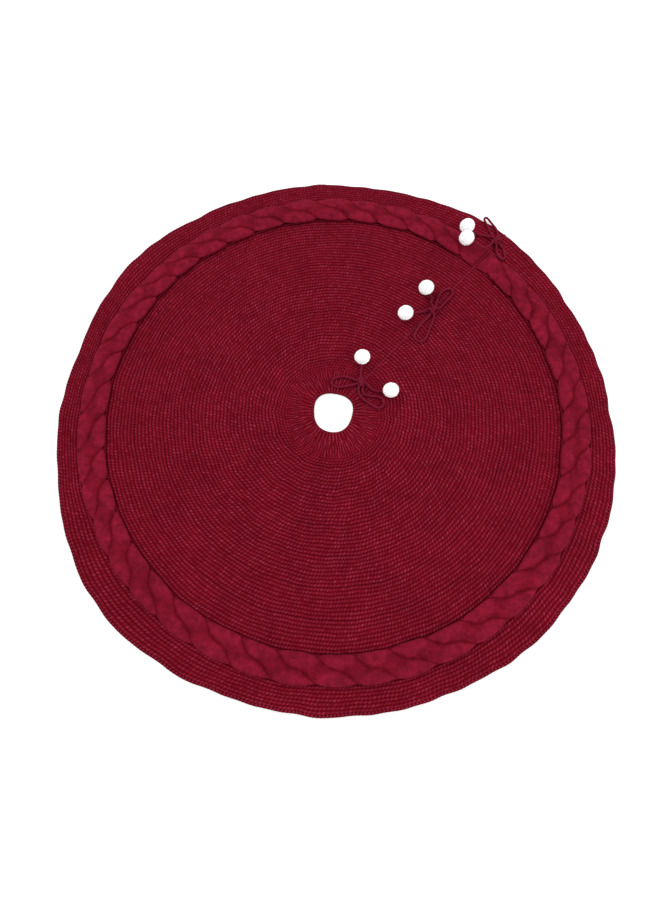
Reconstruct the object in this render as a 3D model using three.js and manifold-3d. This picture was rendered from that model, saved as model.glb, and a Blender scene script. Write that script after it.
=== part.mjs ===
// Round knitted tree skirt, laid flat and closed along its slit by three bows with pompom ends.
// Millimetres, +Z up. The origin is the centre of the trunk hole, on the surface the skirt lies on.
import * as THREE from 'three';
import { mergeVertices } from 'three/addons/utils/BufferGeometryUtils.js';
import Module from 'manifold-3d';

const wasm = await Module();
wasm.setup();

// Fabric: the bands run outwards from the hole, and the body panel fills what the others leave.
const clearance = 0.3; // left between pieces that touch
const skirtRadius = 608; // hole centre to the outside of the hem, averaged round the edge
const fabricThickness = 6;
const holeRadius = 44.5; // averaged round the hole
const neckCordDiameter = 6; // rolled cast-on edge round the hole
const neckRibWidth = 74;
const cableWebThickness = 4; // plain ground that the two cable strands stand on
const borderWidth = 49;
const hemCordDiameter = 6; // rolled bind-off edge

// The relaxed edges wave in and out: how many lobes, how far, and the direction of one crest.
const edgeLobes = [
  { count: 2, height: 1.5, crest: 50 },
  { count: 3, height: 1.9, crest: -25 },
  { count: 4, height: 6.6, crest: 45 },
  { count: 5, height: 1.9, crest: -14 },
  { count: 6, height: 1.4, crest: -22 },
  { count: 8, height: 1.7, crest: 1 },
  { count: 9, height: 1.3, crest: 18 },
];
const holeLobes = [
  { count: 2, height: 1.3, crest: 94 },
  { count: 3, height: 1.4, crest: 20 },
  { count: 4, height: 1.2, crest: 34 },
];

// Slit from the hole to the hem, with a knitted selvedge along each side.
const slitAngle = THREE.MathUtils.degToRad(46);
const slitGap = 0.6;
const selvedgeWidth = 7;

// Rope cable: two strands that twist round each other.
const strandWidth = 27;
const strandHeight = 7;
const strandRise = 0.6; // kept between the strands where one crosses over the other
const cableTurns = 21;
const cableEndSetback = 15; // from the slit to the ends of the strands

// Ties: six cords sewn to the selvedges, tied in three bows.
const cordDiameter = 5;
const bowKnotRadius = 8;
const pompomRadius = 18;
const tailEndRadius = 3.5; // overhand knot that holds the pompom on the cord
const boreClearance = 0.7; // round the cord and its end knot inside the pompom
const pompomEntrySlope = THREE.MathUtils.degToRad(30);
const pompomApproach = 8; // last stretch of cord before the pompom, seen from above

const degrees = THREE.MathUtils.degToRad;
const cordRadius = cordDiameter / 2;
const cordHeight = fabricThickness + clearance + cordRadius; // centre of a cord that lies on the fabric
const setback = slitGap / 2 + selvedgeWidth + clearance; // slit to the ends of the fabric bands

// A strand swings this far from the middle of the cable, which is as close as the two can twist.
const strandSpread = (strandHeight + strandRise) * strandWidth / (2 * strandHeight);
const cableBandWidth = 2 * strandSpread + strandWidth + 2 * clearance;

// Radii of the bands, from the hole outwards.
const neckRibOuter = holeRadius + neckCordDiameter + clearance + neckRibWidth;
const borderInner = skirtRadius - hemCordDiameter - clearance - borderWidth;
const cableOuter = borderInner - clearance;
const cableInner = cableOuter - cableBandWidth;
const cableRadius = (cableInner + cableOuter) / 2;
const bodyInner = neckRibOuter + clearance;
const bodyOuter = cableInner - clearance;

const cableTop = cableWebThickness + clearance + 2 * strandHeight + strandRise;

const fabricColour = 0x6d1526;
const cableColour = 0x86182d;
const cordColour = 0x741a2b;
const yarnWhite = 0xf7f5f1;

const skirt = new THREE.Group();

function addPiece(name, geometry, colour) {
  const material = new THREE.MeshStandardMaterial({ color: colour, roughness: 0.9, metalness: 0 });
  const mesh = new THREE.Mesh(geometry, material);
  mesh.name = name;
  skirt.add(mesh);
  return mesh;
}

// Joining and cutting of closed geometries.
function toSolid(geometry) {
  const bare = geometry.clone();
  bare.deleteAttribute('normal');
  bare.deleteAttribute('uv');
  const merged = mergeVertices(bare, 1e-4);
  const vertProperties = new Float32Array(merged.attributes.position.array);
  const triVerts = new Uint32Array(merged.index.array);
  return new wasm.Manifold(new wasm.Mesh({ numProp: 3, vertProperties, triVerts }));
}

function toGeometry(solid) {
  const mesh = solid.getMesh();
  const geometry = new THREE.BufferGeometry();
  geometry.setAttribute('position', new THREE.BufferAttribute(mesh.vertProperties, 3));
  geometry.setIndex(new THREE.BufferAttribute(mesh.triVerts, 1));
  geometry.computeVertexNormals();
  return geometry;
}

// ---------------------------------------------------------------- fabric bands

function wavyRadius(average, lobes, angle) {
  let radius = average;
  for (const lobe of lobes) {
    radius += lobe.height * Math.cos(lobe.count * (angle - degrees(lobe.crest)));
  }
  return radius;
}

const outlineRadius = (angle) => wavyRadius(skirtRadius, edgeLobes, angle);
const holeOutline = (angle) => wavyRadius(holeRadius, holeLobes, angle);

// A band goes all the way round, from one side of the slit to the other, and its ends are
// parallel to the slit. The two radii are functions of the angle.
function addBand(name, innerRadiusAt, outerRadiusAt, thickness, segments, colour) {
  const arc = (radiusAt) => {
    const points = [];
    const start = Math.asin(setback / radiusAt(slitAngle));
    for (let i = 0; i <= segments; i += 1) {
      const angle = slitAngle + start + (i / segments) * (2 * Math.PI - 2 * start);
      const radius = radiusAt(angle);
      points.push(new THREE.Vector2(radius * Math.cos(angle), radius * Math.sin(angle)));
    }
    return points;
  };
  const shape = new THREE.Shape([...arc(outerRadiusAt), ...arc(innerRadiusAt).reverse()]);
  const geometry = new THREE.ExtrudeGeometry(shape, { depth: thickness, bevelEnabled: false });
  return addPiece(name, geometry, colour);
}

// Centreline of an edge roll or a cable strand, from one side of the slit to the other.
class RingPath extends THREE.Curve {
  constructor(radiusAt, heightAt, start) {
    super();
    this.radiusAt = radiusAt;
    this.heightAt = heightAt;
    this.start = start; // angle from the slit to either end
    this.arcLengthDivisions = 3000;
  }

  getPoint(t, target = new THREE.Vector3()) {
    const angle = slitAngle + this.start + t * (2 * Math.PI - 2 * this.start);
    const radius = this.radiusAt(angle, t);
    return target.set(radius * Math.cos(angle), radius * Math.sin(angle), this.heightAt(t));
  }
}

function roundSection(radius, sides) {
  const points = [];
  for (let i = 0; i < sides; i += 1) {
    const angle = (2 * Math.PI * i) / sides;
    points.push(new THREE.Vector2(radius * Math.cos(angle), radius * Math.sin(angle)));
  }
  return new THREE.Shape(points);
}

function tubeAlong(path, radius, sides, steps) {
  return new THREE.ExtrudeGeometry(roundSection(radius, sides), { steps, extrudePath: path });
}

// The ends of a roll are radial, so the setback from the slit is measured at its inner side.
function addEdgeRoll(name, centreRadiusAt, diameter, steps) {
  const start = Math.asin(setback / (centreRadiusAt(slitAngle) - diameter / 2));
  const path = new RingPath(centreRadiusAt, () => diameter / 2, start);
  addPiece(name, tubeAlong(path, diameter / 2, 6, steps), fabricColour);
}

function addFabric() {
  const holeSegments = 48;
  const bandSegments = 84;
  const edgeSegments = 112;
  const hemInnerRadius = (angle) => outlineRadius(angle) - hemCordDiameter - clearance;
  const hemCentreRadius = (angle) => outlineRadius(angle) - hemCordDiameter / 2;
  const neckCentreRadius = (angle) => holeOutline(angle) + neckCordDiameter / 2;
  const neckRibRadius = (angle) => holeOutline(angle) + neckCordDiameter + clearance;
  const ring = (radius) => () => radius;
  addEdgeRoll('neck_edge', neckCentreRadius, neckCordDiameter, holeSegments);
  addBand('neck_rib', neckRibRadius, ring(neckRibOuter), fabricThickness, holeSegments, fabricColour);
  addBand('body_panel', ring(bodyInner), ring(bodyOuter), fabricThickness, bandSegments, fabricColour);
  addBand('cable_web', ring(cableInner), ring(cableOuter), cableWebThickness, bandSegments, cableColour);
  addBand('border_band', ring(borderInner), hemInnerRadius, fabricThickness, edgeSegments, fabricColour);
  addEdgeRoll('hem_edge', hemCentreRadius, hemCordDiameter, edgeSegments);
}

// ---------------------------------------------------------------- rope cable

// Each strand is drawn round, as a true twist, and pressed flat afterwards, so the strands stay
// clear of each other all the way.
function addCableStrand(name, phase) {
  const flatness = strandHeight / strandWidth;
  const twist = (t) => phase + t * cableTurns * 2 * Math.PI;
  const radiusAt = (angle, t) => cableRadius - strandSpread * Math.cos(twist(t));
  const heightAt = (t) => strandSpread * Math.sin(twist(t));
  const path = new RingPath(radiusAt, heightAt, Math.asin(cableEndSetback / cableRadius));
  const geometry = tubeAlong(path, strandWidth / 2, 6, cableTurns * 8);
  geometry.scale(1, 1, flatness);
  geometry.translate(0, 0, cableTop - strandHeight - strandRise / 2);
  addPiece(name, geometry, cableColour);
}

// ---------------------------------------------------------------- slit edges

const slitDirection = new THREE.Vector3(Math.cos(slitAngle), Math.sin(slitAngle), 0);
const acrossSlit = new THREE.Vector3(-Math.sin(slitAngle), Math.cos(slitAngle), 0);

// A point given by its distance from the hole's centre along the slit and its distance beside it.
function besideSlit(along, aside, height) {
  const point = slitDirection.clone().multiplyScalar(along);
  point.addScaledVector(acrossSlit, aside);
  point.z = height;
  return point;
}

function uprightCylinder(radius, height, foot) {
  const geometry = new THREE.CylinderGeometry(radius, radius, height, 8);
  geometry.rotateX(Math.PI / 2);
  geometry.translate(foot.x, foot.y, foot.z + height / 2);
  return geometry;
}

const rootAside = slitGap / 2 + selvedgeWidth / 2;

// Side is +1 for the selvedge that lies anticlockwise of the slit and -1 for the other.
function addSelvedge(name, side, bows) {
  const start = holeOutline(slitAngle);
  const length = outlineRadius(slitAngle) - start;
  const geometry = new THREE.BoxGeometry(length, selvedgeWidth, fabricThickness);
  geometry.rotateZ(slitAngle);
  const centre = besideSlit(start + length / 2, side * rootAside, fabricThickness / 2);
  geometry.translate(centre.x, centre.y, centre.z);
  let solid = toSolid(geometry);
  for (const bow of bows) {
    const foot = besideSlit(bow.along, side * rootAside, -1);
    const hole = uprightCylinder(cordRadius + clearance, fabricThickness + 2, foot);
    solid = solid.subtract(toSolid(hole));
  }
  addPiece(name, toGeometry(solid), fabricColour);
}

// ---------------------------------------------------------------- bows

// Each bow sits on the slit. Cords leave the knot at the bearings given, loops low and tails
// high, and run through points relative to the knot: x, y, and the cord's lift off the fabric.
// A tail's heading is its bearing where it enters the pompom, and lift is what the pompom rests on.
const bows = [
  {
    name: 'inner',
    along: 91,
    aside: 0,
    loops: {
      a: {
        bearings: [150, 196],
        route: [
          [-17, 9.5, 0], [-26, 13, 0], [-39, 16, 0], [-53, 14.5, 0], [-62, 9, 0], [-64.7, 1.5, 0],
          [-60.7, -5.5, 0], [-52, -8.5, 0], [-38, -7.5, 0], [-27, -6, 0], [-17.5, -4.5, 0],
        ],
      },
      b: {
        bearings: [-70, -115],
        route: [
          [3, -17, 0], [5, -24.5, 0], [11, -29.5, 0], [21, -32, 0], [33, -33, 0], [42.5, -36.5, 0],
          [47.5, -43.5, 0], [48, -51.5, 0], [43, -58, 0], [35, -60, 0], [25, -55.5, 0],
          [15, -48, 0], [5, -40.5, 0], [-2, -32, 0], [-5, -24, 0], [-5.5, -16.5, 0],
        ],
      },
    },
    tails: {
      a: {
        bearing: -25,
        heading: -8,
        lift: 0,
        route: [[14.5, -8.5, 4.5], [20, -13, 1], [26, -17.5, 0], [33, -20.5, 0.3], [40.4, -22.2, 2.5]],
      },
      b: {
        bearing: 88,
        heading: 84,
        lift: 0,
        route: [[0.4, 15.5, 4.5], [0.7, 21, 1], [1.2, 26, 0.6], [2.3, 32, 2.5]],
      },
    },
  },
  {
    name: 'middle',
    along: 338,
    aside: -5,
    loops: {
      a: {
        bearings: [64, 20],
        route: [
          [6.5, 16, 0], [10.5, 27, 0], [15.6, 40, 0], [24, 51, 0], [35, 56.5, 0], [45, 54.5, 0],
          [48, 45.5, 0], [42.5, 35.5, 0], [30.5, 23.5, 0], [18, 10.5, 0],
        ],
      },
      b: {
        bearings: [225, 268],
        route: [
          [-15, -16.5, 0], [-31, -32.7, 0], [-43, -49, 0], [-48.6, -61.5, 0], [-45.4, -72.5, 0],
          [-35.4, -77, 0], [-25.4, -71.5, 0], [-18.4, -58.7, 0], [-11.4, -42.7, 0],
          [-4.4, -27.7, 0], [-0.8, -17, 0],
        ],
      },
    },
    tails: {
      a: {
        bearing: 177,
        heading: 196,
        lift: 0,
        route: [[-16.5, 0.8, 4.2], [-23, -0.2, 0.8], [-30, -1.5, 0], [-37, -3, 0.6], [-44.7, -5.2, 2.5]],
      },
      b: {
        bearing: 110,
        heading: 125,
        lift: 0,
        route: [[-4.6, 16, 4.2], [-4, 22, 1], [-2.8, 27.5, 0.6], [-1.9, 33, 2.5]],
      },
    },
  },
  {
    name: 'outer',
    along: skirtRadius - 24,
    aside: 5,
    loops: {
      a: {
        bearings: [112, 62],
        route: [
          [-7.5, 17.5, 0], [-12.5, 30, 0], [-17.5, 44, 0], [-21, 56, 0], [-20.5, 65, 0],
          [-14.5, 68, 0], [-9, 62.5, 0], [-3, 52, 0], [3, 40, 0], [7, 29, 0], [7.5, 17.5, 0],
        ],
      },
      b: {
        bearings: [275, 318],
        route: [
          [0.3, -17, 0], [0, -26, 0], [1.5, -38, 0], [5.5, -47, 0], [12.5, -50, 0], [17.5, -44, 0],
          [18, -33, 0], [15.5, -21, 0], [11.8, -12.5, 0],
        ],
      },
    },
    tails: {
      a: {
        bearing: 150,
        heading: 153,
        lift: 0,
        route: [[-14.5, 9.8, 5], [-20, 13.8, 1.6], [-27, 17.5, 0.2], [-36, 20.2, 0.3], [-47.6, 23, 2.5]],
      },
      b: {
        bearing: 213,
        heading: 168,
        lift: cableTop - fabricThickness,
        route: [
          [-13, -11.5, 8], [-20, -19, 9.5], [-29, -25.5, 12.5], [-40, -26.5, 14.6],
          [-48, -22, 15], [-54.5, -15, 15.8],
        ],
      },
    },
  },
];

const loopExitSlope = degrees(-20);
const tailExitSlope = degrees(20);
const exitLength = 4; // straight part of a cord outside the knot

function knotCentre(bow) {
  return besideSlit(bow.along, bow.aside, fabricThickness + clearance + bowKnotRadius);
}

function bearingVector(bearing, slope) {
  const flat = new THREE.Vector3(Math.cos(degrees(bearing)), Math.sin(degrees(bearing)), 0);
  flat.multiplyScalar(Math.cos(slope));
  flat.z = Math.sin(slope);
  return flat;
}

// The two points by which a cord leaves the knot, square to its surface.
function exitPoints(bow, bearing, slope) {
  const direction = bearingVector(bearing, slope);
  const start = knotCentre(bow).addScaledVector(direction, bowKnotRadius + clearance);
  return [start, start.clone().addScaledVector(direction, exitLength)];
}

function routePoint(bow, [x, y, lift]) {
  const knot = knotCentre(bow);
  return new THREE.Vector3(knot.x + x, knot.y + y, cordHeight + lift);
}

function cordAlong(points) {
  const path = new THREE.CatmullRomCurve3(points, false, 'catmullrom', 0.5);
  const steps = Math.ceil(path.getLength() / (2.7 * cordDiameter));
  return tubeAlong(path, cordRadius, 8, steps);
}

function ballAt(radius, centre, around, high) {
  const geometry = new THREE.SphereGeometry(radius, around, high);
  geometry.rotateX(Math.PI / 2);
  geometry.translate(centre.x, centre.y, centre.z);
  return geometry;
}

function addLoop(bow, letter) {
  const loop = bow.loops[letter];
  const points = exitPoints(bow, loop.bearings[0], loopExitSlope);
  points.push(...loop.route.map((point) => routePoint(bow, point)));
  points.push(...exitPoints(bow, loop.bearings[1], loopExitSlope).reverse());
  addPiece(`${bow.name}_bow_loop_${letter}`, cordAlong(points), cordColour);
}

// The pompom lies one radius clear of what is under it, and the cord slopes up into its middle.
function placePompom(bow, tail) {
  const inwards = bearingVector(tail.heading, pompomEntrySlope);
  const centre = routePoint(bow, tail.route.at(-1));
  const reach = pompomApproach + pompomRadius * Math.cos(pompomEntrySlope);
  centre.addScaledVector(bearingVector(tail.heading, 0), reach);
  centre.z = fabricThickness + clearance + pompomRadius + tail.lift;
  return { centre, inwards };
}

function addTail(bow, letter) {
  const tail = bow.tails[letter];
  const { centre, inwards } = placePompom(bow, tail);
  const before = (distance) => centre.clone().addScaledVector(inwards, -distance);
  const points = exitPoints(bow, tail.bearing, tailExitSlope);
  points.push(...tail.route.map((point) => routePoint(bow, point)));
  points.push(before(pompomRadius), before(pompomRadius / 2), before(tailEndRadius + clearance));
  addPiece(`${bow.name}_bow_tail_${letter}`, cordAlong(points), cordColour);
  addPiece(`${bow.name}_tail_end_${letter}`, ballAt(tailEndRadius, centre, 8, 6), cordColour);
  addPiece(`${bow.name}_pompom_${letter}`, pompomGeometry(centre, inwards), yarnWhite);
}

// A ball with a bore for the cord and a pocket in the middle for its end knot.
function pompomGeometry(centre, inwards) {
  const boreRadius = cordRadius + boreClearance;
  const boreLength = pompomRadius + 4;
  const bore = new THREE.CylinderGeometry(boreRadius, boreRadius, boreLength, 8);
  bore.translate(0, -boreLength / 2, 0);
  bore.applyQuaternion(new THREE.Quaternion().setFromUnitVectors(new THREE.Vector3(0, 1, 0), inwards));
  bore.translate(centre.x, centre.y, centre.z);
  const pocket = ballAt(tailEndRadius + boreClearance, centre, 8, 6);
  const ball = toSolid(ballAt(pompomRadius, centre, 12, 8));
  return toGeometry(ball.subtract(toSolid(bore)).subtract(toSolid(pocket)));
}

function addBow(bow) {
  addPiece(`${bow.name}_bow_knot`, ballAt(bowKnotRadius, knotCentre(bow), 12, 6), cordColour);
  for (const letter of ['a', 'b']) {
    const side = letter === 'a' ? 1 : -1;
    const foot = besideSlit(bow.along, side * rootAside, clearance);
    const root = uprightCylinder(cordRadius, fabricThickness - 2 * clearance, foot);
    addPiece(`${bow.name}_tie_root_${letter}`, root, cordColour);
    addLoop(bow, letter);
    addTail(bow, letter);
  }
}

addFabric();
addCableStrand('cable_strand_a', 0);
addCableStrand('cable_strand_b', Math.PI);
addSelvedge('slit_edge_left', 1, bows);
addSelvedge('slit_edge_right', -1, bows);
bows.forEach(addBow);

export default skirt;
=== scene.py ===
"""Round hand-knitted tree skirt lying flat, closed along its slit by three bows with pompoms."""
import math

import bpy
import numpy as np
from mathutils import Matrix, Vector


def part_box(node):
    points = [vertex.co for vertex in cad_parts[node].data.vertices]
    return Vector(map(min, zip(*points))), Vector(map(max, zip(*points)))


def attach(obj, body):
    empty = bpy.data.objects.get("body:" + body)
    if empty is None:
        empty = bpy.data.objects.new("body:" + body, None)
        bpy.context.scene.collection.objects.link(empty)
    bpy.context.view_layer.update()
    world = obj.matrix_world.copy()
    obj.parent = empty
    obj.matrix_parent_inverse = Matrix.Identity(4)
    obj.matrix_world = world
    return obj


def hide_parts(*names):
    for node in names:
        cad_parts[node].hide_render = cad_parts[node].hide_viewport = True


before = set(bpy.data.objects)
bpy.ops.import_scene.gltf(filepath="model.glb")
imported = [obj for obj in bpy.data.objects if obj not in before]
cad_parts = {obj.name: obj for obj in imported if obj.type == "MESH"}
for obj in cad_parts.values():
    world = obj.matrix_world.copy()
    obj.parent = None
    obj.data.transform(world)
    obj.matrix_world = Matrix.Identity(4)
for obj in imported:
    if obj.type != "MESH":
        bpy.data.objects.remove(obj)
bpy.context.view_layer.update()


# The view of the skirt lying on a floor: a short lens held high over its near side, looking
# steeply down and turned a little.
CAMERA_AT = (-0.0089, -0.3785, 1.0499)
LOOKING_DOWN = 1.2983
HEAD_TILT = -0.0252
FOCAL_SHARE = 0.5622  # focal length over the height of the sensor
SENSOR_HEIGHT = 24  # millimetres
FARTHEST_SEEN = 50

sideways = Vector((1, 0, 0))
forwards = Vector((0, math.cos(LOOKING_DOWN), -math.sin(LOOKING_DOWN)))
upwards = sideways.cross(forwards)
tilted_right = sideways * math.cos(HEAD_TILT) + upwards * math.sin(HEAD_TILT)
tilted_up = upwards * math.cos(HEAD_TILT) - sideways * math.sin(HEAD_TILT)
bpy.ops.object.camera_add(location=CAMERA_AT)
camera = bpy.context.object
camera.rotation_euler = Matrix((tilted_right, tilted_up, -forwards)).transposed().to_euler()
camera.data.sensor_fit = "VERTICAL"
camera.data.sensor_height = SENSOR_HEIGHT
camera.data.lens = FOCAL_SHARE * SENSOR_HEIGHT
camera.data.clip_end = FARTHEST_SEEN
bpy.context.scene.camera = camera


# The floor is pale and matt. Light comes from a white room all round, from one wide soft lamp high
# on the left, so that each ridge of the knitting keeps a soft shadow, and from a weaker one on the
# right.
FLOOR_SIZE = 60
FLOOR_COLOUR = "#fdfdfd"
FLOOR_GLOW = 0.22  # a little light of its own, so that shadows on it stay faint
ROOM_LIGHT = 0.71
LAMP_AT = (-3.0, 3.2, 5.2)
LAMP_WATTS = 162
LAMP_SIZE = 2.6
FILL_AT = (2.6, -1.4, 2.2)
FILL_WATTS = 50


def linear(hex_colour):
    """An sRGB hex colour as linear red, green, blue and full alpha."""
    parts = [int(hex_colour[i : i + 2], 16) / 255 for i in (1, 3, 5)]
    return [c / 12.92 if c <= 0.04045 else ((c + 0.055) / 1.055) ** 2.4 for c in parts] + [1]


def add_node(tree, kind, settings=None, **inputs):
    """One node. Settings are its properties, and inputs are values or other nodes' sockets."""
    node = tree.nodes.new(kind)
    for key, value in (settings or {}).items():
        setattr(node, key, value)
    for key, value in inputs.items():
        socket = node.inputs[int(key[1:])] if key[1:].isdigit() else node.inputs[key.replace("_", " ")]
        if isinstance(value, bpy.types.NodeSocket):
            tree.links.new(value, socket)
        else:
            socket.default_value = value
    return node


def new_material(name):
    """An empty material with its shader and output, as (material, tree, shader)."""
    material = bpy.data.materials.new(name)
    material.use_nodes = True
    tree = material.node_tree
    tree.nodes.clear()
    shader = add_node(tree, "ShaderNodeBsdfPrincipled")
    add_node(tree, "ShaderNodeOutputMaterial", Surface=shader.outputs["BSDF"])
    return material, tree, shader


floor_paint, _, floor_shader = new_material("matt_pale_floor")
floor_shader.inputs["Base Color"].default_value = linear(FLOOR_COLOUR)
floor_shader.inputs["Roughness"].default_value = 0.9
floor_shader.inputs["Specular IOR Level"].default_value = 0.1
floor_shader.inputs["Emission Color"].default_value = (1, 1, 1, 1)
floor_shader.inputs["Emission Strength"].default_value = FLOOR_GLOW
bpy.ops.object.select_all(action="DESELECT")
bpy.ops.mesh.primitive_plane_add(size=FLOOR_SIZE, location=(0, 0, 0))
floor = bpy.context.object
floor.name = "floor"
floor.data.materials.append(floor_paint)

for place, watts in ((LAMP_AT, LAMP_WATTS), (FILL_AT, FILL_WATTS)):
    bpy.ops.object.light_add(type="AREA", location=place)
    lamp = bpy.context.object
    lamp.data.energy = watts
    lamp.data.size = LAMP_SIZE
    lamp.rotation_euler = Vector(place).to_track_quat("Z", "Y").to_euler()
room = bpy.data.worlds.new("white_room")
room.use_nodes = True
room.node_tree.nodes["Background"].inputs["Color"].default_value = (1, 1, 1, 1)
room.node_tree.nodes["Background"].inputs["Strength"].default_value = ROOM_LIGHT
bpy.context.scene.world = room
bpy.context.scene.view_settings.view_transform = "Standard"


# Ribbed neck. It is knitted outwards from the hole in acrylic yarn of about 5 mm: radial ribs of
# knit stitches, with a second set of ribs made between them early on, which turn into ridges.
SLIT_ANGLE = math.radians(46)
SLIT_SETBACK = 0.0026  # from the slit to where the rows of stitches begin
HOLE_RADIUS = 0.0445
NECK_RIBS = 50
RIB_DEPTH = 0.0021
RIB_SPLIT = (0.16, 0.40)  # share of the neck's width where the second ribs grow in
RIB_END = (0.50, 0.88)  # and where ribs give way to ridges
NECK_STITCH = 0.0062  # length of a stitch along a rib
RIB_WAVER = ((0.07, 1.3, 2.1), (0.05, 0.7, -5.3))  # height, and drift to a row and to a stitch
RIB_FULLNESS = 0.8  # below 1 the tops of the ribs are broad and the gaps narrow
RIB_NIP = 0.32  # how far a rib sinks between two of its stitches
RIB_SPREAD = 0.14  # how unlike each other stitches are
RIDGE_FULLNESS = 0.9
NECK_BEAD_FLOOR = 0.25  # how much of a ridge's height is left between two beads
NECK_BEAD_LEAN = 0.8
FABRIC_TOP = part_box("body_panel")[1].z
UNDERSIDE_DEPTH = 0.0012
SKIRT_RADIUS = 0.608
HOLE_LOBES = ((2, 0.0013, 94), (3, 0.0014, 20), (4, 0.0012, 34))  # count, height, crest in degrees
EDGE_LOBES = (
    (1, 0.0024, -45), (2, 0.0015, 50), (3, 0.0019, -25), (4, 0.0066, 45),
    (5, 0.0019, -14), (6, 0.0014, -22), (8, 0.0017, 1), (9, 0.0013, 18),
)
EDGE_SCALLOPS = ((26, 0.0006, 5), (41, 0.0006, 3), (67, 0.0005, 1))  # small and uneven
ROW_WANDER = 0.0021  # rows stray this far from a true circle
ROW_SWAYS = ((11, 40, 0, 1), (17, -26, 2, 1), (29, 65, 4, 0.8))  # count, drift, phase and share
ROW_RIPPLE = 0.55
WAVE_START = 0.50  # the outer part of the skirt lifts off the floor in soft waves
WAVE_HEIGHT = 0.0042
WAVES = ((7, 0.34, 0.6), (3, 0.16, -1.1))  # count, share and phase
WAVE_CALM = math.radians(34)  # it lies flat this far to each side of the slit
PUCKER_START = (0.16, 0.3)
PUCKER_HEIGHT = 0.0013
rng = np.random.default_rng(24)


def ring_radii(node):
    """The least and the greatest distance of a CAD node's corners from the hole's centre."""
    away = [math.hypot(v.co.x, v.co.y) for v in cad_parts[node].data.vertices]
    return min(away), max(away)


def wavy_radius(average, lobes, angle):
    return average + sum(h * np.cos(n * (angle - math.radians(crest))) for n, h, crest in lobes)


def hole_radius(angle):
    """The edge of the hole, which is pulled a little out of round."""
    return wavy_radius(HOLE_RADIUS, HOLE_LOBES, angle)


def edge_radius(angle):
    """Where the relaxed outer edge runs, in and out in shallow lobes and small scallops."""
    return wavy_radius(SKIRT_RADIUS, EDGE_LOBES + EDGE_SCALLOPS, angle)


def smooth_step(x, low, high):
    t = np.clip((x - low) / (high - low), 0, 1)
    return t * t * (3 - 2 * t)


def row_wander(radius, angle):
    """How far a place strays outwards, as rows do that are worked by hand."""
    sway = sum(
        share * np.sin(count * angle + drift * radius + phase) for count, drift, phase, share in ROW_SWAYS
    )
    ripple = np.sin(61 * angle - 110 * radius + 1) * np.sin(7 * angle + 90 * radius)
    held = smooth_step(radius, HOLE_RADIUS, 3 * HOLE_RADIUS)
    return ROW_WANDER * held * (sway + ROW_RIPPLE * ripple) / len(ROW_SWAYS)


def floor_lift(radius, angle):
    """How high the fabric's waves and puckers lift it at a place on the skirt."""
    from_slit = np.abs((angle - SLIT_ANGLE + math.pi) % (2 * math.pi) - math.pi)
    calm = smooth_step(from_slit, WAVE_CALM * 0.5, WAVE_CALM)
    wave = 0.5 + sum(share * np.cos(count * angle + phase) for count, share, phase in WAVES)
    wave = WAVE_HEIGHT * wave * smooth_step(radius, WAVE_START, SKIRT_RADIUS)
    pucker = 0.5 + 0.5 * np.sin(48 * radius + 2 * np.sin(4 * angle)) * np.cos(9 * angle + 14 * radius)
    return calm * (wave + PUCKER_HEIGHT * pucker * smooth_step(radius, *PUCKER_START))


def add_piece(name, points, faces, material, body):
    """A smooth-shaded mesh object that rides on a body."""
    mesh = bpy.data.meshes.new(name)
    mesh.from_pydata(points.tolist(), [], faces)
    mesh.polygons.foreach_set("use_smooth", np.ones(len(mesh.polygons), bool))
    mesh.materials.append(material)
    piece = bpy.data.objects.new(name, mesh)
    bpy.context.collection.objects.link(piece)
    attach(piece, body)
    return piece


def tube_faces(rings, around):
    """Quads that join rings of points into a tube, and a cap on each end."""
    index = np.arange(rings * around).reshape(rings, around)
    turned = np.roll(index, -1, axis=1)
    quads = np.stack([index[:-1], turned[:-1], turned[1:], index[1:]], axis=-1)
    return quads.reshape(-1, 4).tolist() + [index[0].tolist()[::-1], index[-1].tolist()]


FULLEST = 1.3  # the plumpest stitch, where a usual one is 1


def give_values(piece, values, lengthways, crossways):
    """Stores each point's painted shade value, mostly how high it stands in its stitch, and its place on
    the cloth in metres.
    """
    height = np.clip(values / FULLEST, 0, 1)
    piece.data.attributes.new("painted_stitch_shade", "FLOAT", "POINT").data.foreach_set(
        "value", height.astype(np.float32)
    )
    corner = np.zeros(len(piece.data.loops), np.int32)
    piece.data.loops.foreach_get("vertex_index", corner)
    place = np.stack([lengthways[corner], crossways[corner]], axis=1)
    piece.data.uv_layers.new(name="cloth").data.foreach_set("uv", place.astype(np.float32).ravel())


UNDER_FINE = 2  # points to a row on the underside


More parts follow.
